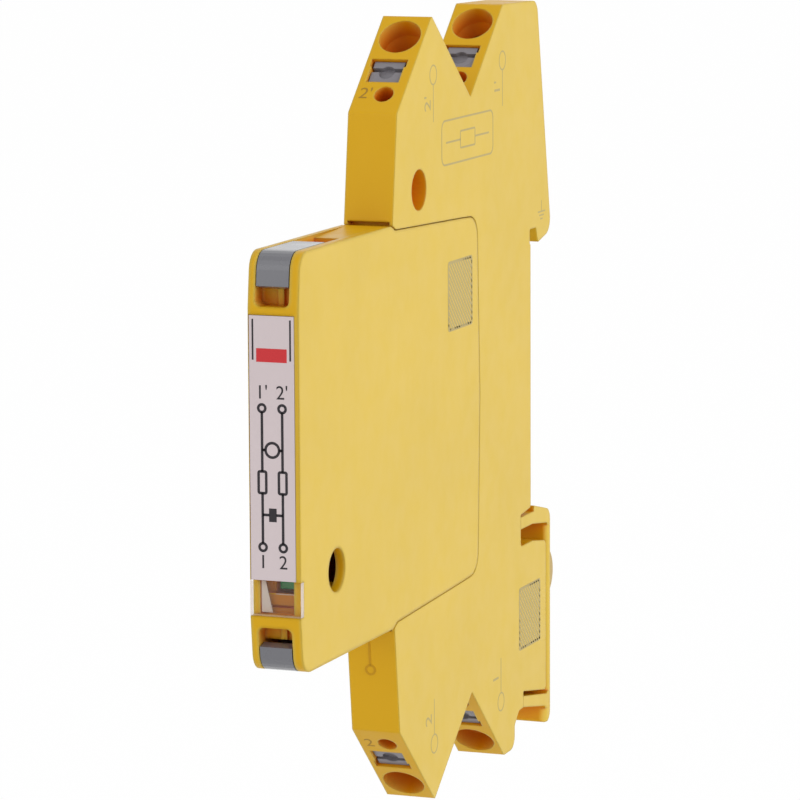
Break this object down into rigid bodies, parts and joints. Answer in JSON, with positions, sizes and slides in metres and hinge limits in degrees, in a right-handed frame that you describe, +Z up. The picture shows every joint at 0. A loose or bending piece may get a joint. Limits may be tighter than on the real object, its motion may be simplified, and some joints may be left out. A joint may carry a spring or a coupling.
{
  "type": "rail mounted surge arrester",
  "caption": "Slim plug-in surge arrester for a top-hat rail: C-shaped base with push-in terminals and a sprung rail foot, and a pull-out module with release buttons and a status window.",
  "frame": {"origin": "on the rail seat, at the middle of the width and of the rail", "axes": "+X across the width towards the side with no cover, +Y towards the rail, -Y towards the user, +Z up"},
  "size_m": [0.006, 0.0841, 0.0928],
  "materials": {
    "yellow_plastic": "satin moulded",
    "grey_plastic": "satin moulded",
    "label_plastic": "matt",
    "clear_plastic": "clear",
    "green_plastic": "satin",
    "spring_steel": "rolled",
    "contact_strip": "rolled",
    "copper": "rolled",
    "plated_brass": "plated",
    "board": "laminate",
    "ceramic": "plated",
    "dark_epoxy": "moulded"
  },
  "bodies": {
    "base": {"base_housing": "yellow_plastic", "base_cover": "yellow_plastic", "earth_bar": "copper", "clamp_spring_upper_front": "spring_steel", "clamp_spring_upper_rear": "spring_steel", "clamp_spring_lower_front": "spring_steel", "clamp_spring_lower_rear": "spring_steel", "contact_bar_upper_front": "copper", "contact_bar_upper_rear": "copper", "contact_bar_lower_front": "copper", "contact_bar_lower_rear": "copper"},
    "rail_foot": {"rail_foot": "yellow_plastic", "rail_contact_spring": "contact_strip"},
    "pusher_upper_front": {"release_pusher_upper_front": "grey_plastic"},
    "pusher_upper_rear": {"release_pusher_upper_rear": "grey_plastic"},
    "pusher_lower_front": {"release_pusher_lower_front": "grey_plastic"},
    "pusher_lower_rear": {"release_pusher_lower_rear": "grey_plastic"},
    "module": {"module_housing": "yellow_plastic", "module_cover": "yellow_plastic", "label_plate": "label_plastic", "indicator_window": "clear_plastic", "indicator_spring": "spring_steel", "button_spring_upper": "spring_steel", "button_spring_lower": "spring_steel", "circuit_board": "board", "gas_discharge_tube": "ceramic", "suppressor_diodes": "dark_epoxy", "decoupling_resistors": "dark_epoxy", "line_blade_upper_front": "plated_brass", "line_blade_upper_rear": "plated_brass", "line_blade_lower_front": "plated_brass", "line_blade_lower_rear": "plated_brass", "earth_blade": "plated_brass"},
    "status_flag": {"indicator_flag": "green_plastic"},
    "button_upper": {"release_button_upper": "grey_plastic"},
    "button_lower": {"release_button_lower": "grey_plastic"}
  },
  "joints": [
    {"name": "module_plug", "type": "slide", "parent": "base", "child": "module", "axis": [0, -1, 0], "range_m": [0, 0.036]},
    {"name": "foot_pull", "type": "slide", "parent": "base", "child": "rail_foot", "axis": [0, 0, -1], "range_m": [0, 0.0016], "stiffness_N_per_m": 8000},
    {"name": "press_upper_front", "type": "slide", "parent": "base", "child": "pusher_upper_front", "axis": [0, 0.6772, -0.7358], "range_m": [0, 0.0013], "stiffness_N_per_m": 3000},
    {"name": "press_upper_rear", "type": "slide", "parent": "base", "child": "pusher_upper_rear", "axis": [0, 0.6772, -0.7358], "range_m": [0, 0.0013], "stiffness_N_per_m": 3000},
    {"name": "press_lower_front", "type": "slide", "parent": "base", "child": "pusher_lower_front", "axis": [0, 0.6772, 0.7358], "range_m": [0, 0.0013], "stiffness_N_per_m": 3000},
    {"name": "press_lower_rear", "type": "slide", "parent": "base", "child": "pusher_lower_rear", "axis": [0, 0.6772, 0.7358], "range_m": [0, 0.0013], "stiffness_N_per_m": 3000},
    {"name": "squeeze_upper", "type": "slide", "parent": "module", "child": "button_upper", "axis": [0, 0, -1], "range_m": [0, 0.0015], "stiffness_N_per_m": 2000, "deforming": ["button_spring_upper"]},
    {"name": "squeeze_lower", "type": "slide", "parent": "module", "child": "button_lower", "axis": [0, 0, 1], "range_m": [0, 0.0015], "stiffness_N_per_m": 2000, "deforming": ["button_spring_lower"]},
    {"name": "flag_drop", "type": "slide", "parent": "module", "child": "status_flag", "axis": [0, 0, -1], "range_m": [0, 0.0043], "deforming": ["indicator_spring"]}
  ]
}
